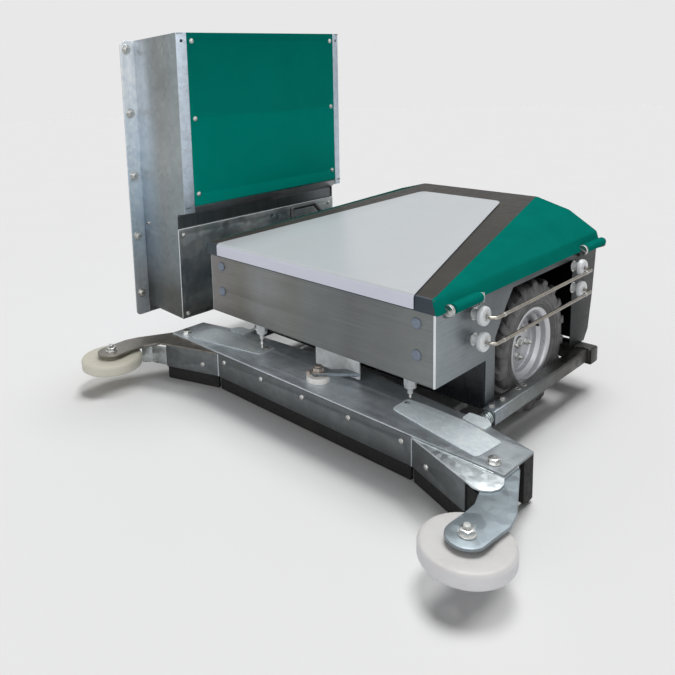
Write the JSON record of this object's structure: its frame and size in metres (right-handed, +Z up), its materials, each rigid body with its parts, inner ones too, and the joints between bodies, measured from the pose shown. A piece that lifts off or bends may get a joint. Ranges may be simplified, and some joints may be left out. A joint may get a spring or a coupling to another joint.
{
  "type": "robotic barn floor cleaner",
  "caption": "Two-wheeled robotic floor scraper with hinged hood, charging rails, rubber-bladed front beam and guide rollers, docked at a tall wall cabinet.",
  "frame": {"origin": "middle of the bounding box at floor level", "axes": "+Z up, the machine drives towards -Y with its scraper leading, +X is to the right when looking at the scraper, the wall cabinet stands on the -X side and faces +X"},
  "size_m": [1.5824, 1.262, 1.144],
  "materials": {
    "body_steel": "brushed stainless sheet",
    "dark_steel": "dark paint",
    "grey_plastic": "moulded grey",
    "battery_case": "black case",
    "zinc": "zinc plated",
    "rim_paint": "light grey paint",
    "tyre": "lugged rubber",
    "hood_green": "glossy moulded green",
    "hood_white": "glossy white",
    "black_plastic": "black moulding",
    "insulator_white": "white plastic",
    "rail_steel": "bright bar",
    "galvanised": "hot-dip galvanised",
    "spring_steel": "coated spring wire",
    "nylon": "off-white nylon",
    "rusty_steel": "weathered steel",
    "rubber": "black rubber",
    "red_plastic": "red moulding",
    "yellow_plastic": "yellow moulding",
    "panel_green": "green powder coat",
    "copper": "copper shoes"
  },
  "bodies": {
    "machine": {"body_shell": "body_steel", "rear_cover": "body_steel", "chassis_frame": "dark_steel", "cap_bolts": "grey_plastic", "batteries": "battery_case", "battery_clamp": "zinc", "control_box": "battery_case", "drive_unit_left": "dark_steel", "drive_unit_right": "dark_steel", "bearings": "dark_steel", "hinge_pins": "zinc", "hinge_brackets": "zinc", "rail_insulators": "insulator_white", "charging_rails": "rail_steel", "push_frame": "galvanised", "push_frame_bolts": "zinc", "push_springs": "spring_steel", "drag_bracket": "galvanised", "glide_posts": "nylon", "stop_collar": "yellow_plastic", "cabinet_shell": "galvanised", "green_panel": "panel_green", "lower_panel": "galvanised", "cabinet_screws": "zinc", "cabinet_bolts": "zinc", "charger_unit": "battery_case", "contact_block": "battery_case", "contact_shoes": "copper"},
    "wheel_left": {"axle_left": "zinc", "hub_left": "zinc", "rim_left": "rim_paint", "tyre_left": "tyre", "wheel_bolts_left": "zinc"},
    "wheel_right": {"axle_right": "zinc", "hub_right": "zinc", "rim_right": "rim_paint", "tyre_right": "tyre", "wheel_bolts_right": "zinc"},
    "hood": {"hood_shell": "hood_green", "hood_panel": "hood_white", "hood_handle": "black_plastic"},
    "scraper": {"beam_plate": "galvanised", "wing_left": "galvanised", "wing_right": "galvanised", "overlay_plates": "galvanised", "pivot_bolt": "rusty_steel", "pivot_disc": "nylon", "spring_rods": "zinc", "blade_centre": "rubber", "blade_wing_left": "rubber", "blade_wing_right": "rubber", "blade_clamps": "zinc", "blade_bolts": "zinc", "rear_pads": "rubber", "arm_left": "galvanised", "arm_right": "galvanised", "arm_bolts": "zinc"},
    "roller_left": {"roller_left": "nylon"},
    "roller_right": {"roller_right": "nylon"},
    "stop_button": {"stop_button": "red_plastic"}
  },
  "joints": [
    {"name": "wheel_left_spin", "type": "hinge", "parent": "machine", "child": "wheel_left", "pos_m": [0.36275, 0.22498, 0.2], "axis": [1, 0, 0], "continuous": true},
    {"name": "wheel_right_spin", "type": "hinge", "parent": "machine", "child": "wheel_right", "pos_m": [-0.32325, 0.22498, 0.2], "axis": [1, 0, 0], "continuous": true},
    {"name": "hood_hinge", "type": "hinge", "parent": "machine", "child": "hood", "pos_m": [0.46675, 0.16498, 0.445], "axis": [0, 1, 0], "range_deg": [0, 80]},
    {"name": "scraper_yaw", "type": "hinge", "parent": "machine", "child": "scraper", "pos_m": [0.01975, -0.24702, 0.148], "axis": [0, 0, 1], "range_deg": [-1, 1], "stiffness_Nm_per_rad": 600, "deforming": ["push_springs"]},
    {"name": "roller_left_spin", "type": "hinge", "parent": "scraper", "child": "roller_left", "pos_m": [0.69325, -0.53302, 0.081], "axis": [0, 0, 1], "continuous": true},
    {"name": "roller_right_spin", "type": "hinge", "parent": "scraper", "child": "roller_right", "pos_m": [-0.65375, -0.53302, 0.081], "axis": [0, 0, 1], "continuous": true},
    {"name": "stop_button_press", "type": "slide", "parent": "machine", "child": "stop_button", "axis": [0, -0.9921, 0.1253], "range_m": [0, 0.006], "stiffness_N_per_m": 2000}
  ]
}
